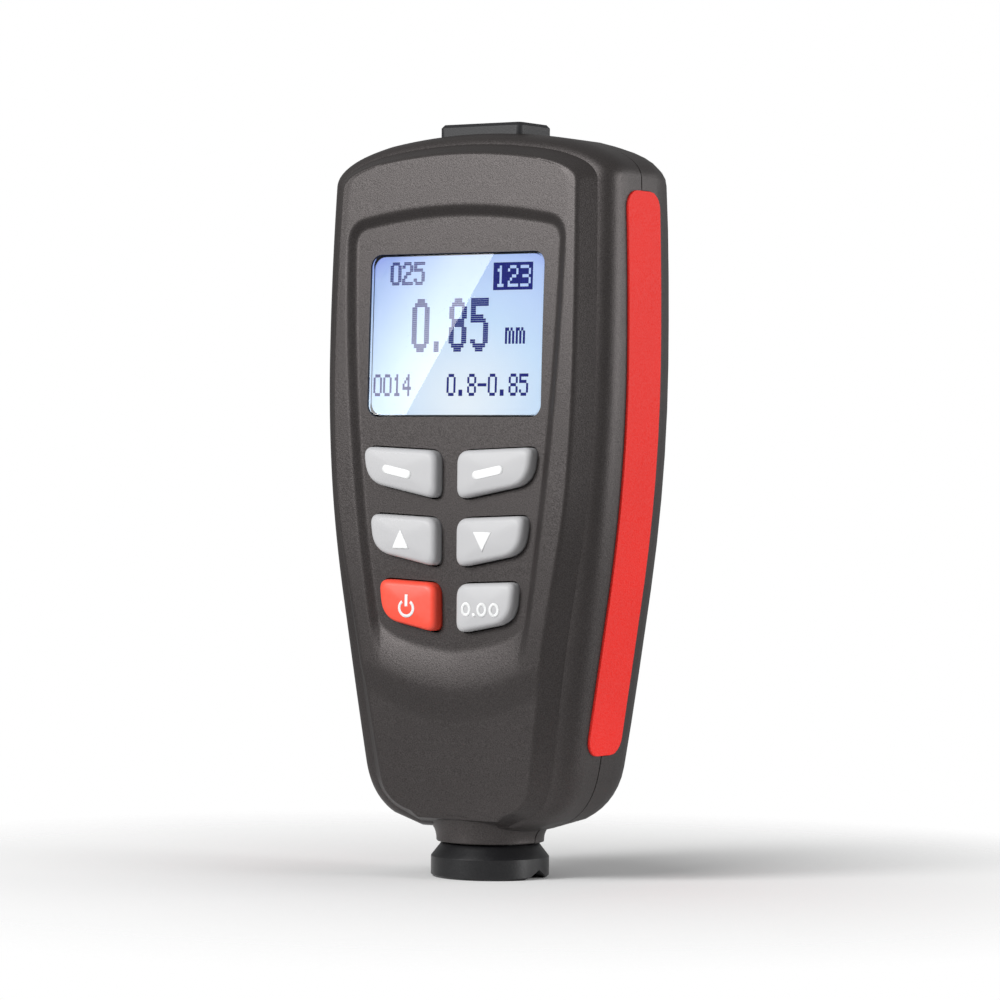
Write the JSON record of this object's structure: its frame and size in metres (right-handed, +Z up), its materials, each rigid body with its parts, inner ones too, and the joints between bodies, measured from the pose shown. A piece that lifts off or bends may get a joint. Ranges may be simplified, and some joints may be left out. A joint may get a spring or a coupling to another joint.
{
  "type": "coating thickness gauge",
  "caption": "Hand-held coating thickness gauge: tapered dark housing with red side grips, backlit display, soft keys and a spring probe in a grooved sleeve.",
  "frame": {"origin": "centre of the probe sleeve's end face, on which the gauge stands, in the seam plane", "axes": "+Z up along the probe axis, -Y out of the display, +X to the display's right"},
  "size_m": [0.0536, 0.0264, 0.1135],
  "materials": {
    "housing": "fine moulded grain",
    "grip": "soft grained",
    "window": "clear",
    "gasket": "matte",
    "lcd": "backlit film",
    "diffuser": "white moulded",
    "elastomer": "matte",
    "board": "solder resist",
    "component": "moulded",
    "key": "silk matte",
    "power_key": "silk matte",
    "sleeve": "turned, satin",
    "port_rubber": "matte",
    "steel": "plated",
    "bobbin": "moulded",
    "copper": "enamelled wire",
    "ferrite": "sintered",
    "cell": "plain sleeve"
  },
  "bodies": {
    "housing": {"front_cover": "housing", "rear_cover": "housing", "left_grip": "grip", "right_grip": "grip", "display_window": "window", "window_gasket": "gasket", "lcd_glass": "lcd", "backlight": "diffuser", "lcd_frame": "diffuser", "contact_strip": "elastomer", "keypad_mat": "elastomer", "main_board": "board", "controller_chip": "component", "beeper": "component", "probe_plug": "component", "probe_sleeve": "sleeve", "switch_domes": "steel", "clock_crystal": "steel", "probe_spring": "steel", "data_socket": "steel", "battery_springs": "steel", "battery_plates": "steel", "case_screws": "steel", "board_screws": "steel", "left_cell": "cell", "right_cell": "cell"},
    "left_soft_key": {"left_soft_key": "key"},
    "right_soft_key": {"right_soft_key": "key"},
    "up_key": {"up_key": "key"},
    "down_key": {"down_key": "key"},
    "power_key": {"power_key": "power_key"},
    "zero_key": {"zero_key": "key"},
    "battery_door": {"battery_door": "housing"},
    "port_cover": {"port_cover": "port_rubber"},
    "probe": {"probe_tip": "steel", "coil_bobbin": "bobbin", "coil_winding": "copper", "ferrite_core": "ferrite"}
  },
  "joints": [
    {"name": "left_soft_key_press", "type": "slide", "parent": "housing", "child": "left_soft_key", "axis": [0, 1, 0], "range_m": [0, 0.0008], "stiffness_N_per_m": 500},
    {"name": "right_soft_key_press", "type": "slide", "parent": "housing", "child": "right_soft_key", "axis": [0, 1, 0], "range_m": [0, 0.0008], "stiffness_N_per_m": 500},
    {"name": "up_key_press", "type": "slide", "parent": "housing", "child": "up_key", "axis": [0, 1, 0], "range_m": [0, 0.0008], "stiffness_N_per_m": 500},
    {"name": "down_key_press", "type": "slide", "parent": "housing", "child": "down_key", "axis": [0, 1, 0], "range_m": [0, 0.0008], "stiffness_N_per_m": 500},
    {"name": "power_key_press", "type": "slide", "parent": "housing", "child": "power_key", "axis": [0, 1, 0], "range_m": [0, 0.0008], "stiffness_N_per_m": 500},
    {"name": "zero_key_press", "type": "slide", "parent": "housing", "child": "zero_key", "axis": [0, 1, 0], "range_m": [0, 0.0008], "stiffness_N_per_m": 500},
    {"name": "battery_door_hinge", "type": "hinge", "parent": "housing", "child": "battery_door", "pos_m": [0, 0.01245, 0.08845], "axis": [1, 0, 0], "range_deg": [0, 55]},
    {"name": "port_cover_pull", "type": "slide", "parent": "housing", "child": "port_cover", "axis": [0, 0, 1], "range_m": [0, 0.008]},
    {"name": "probe_slide", "type": "slide", "parent": "housing", "child": "probe", "axis": [0, 0, -1], "range_m": [0, 0.0015], "stiffness_N_per_m": 60, "springref_m": 0.0015, "deforming": ["probe_spring"]}
  ]
}
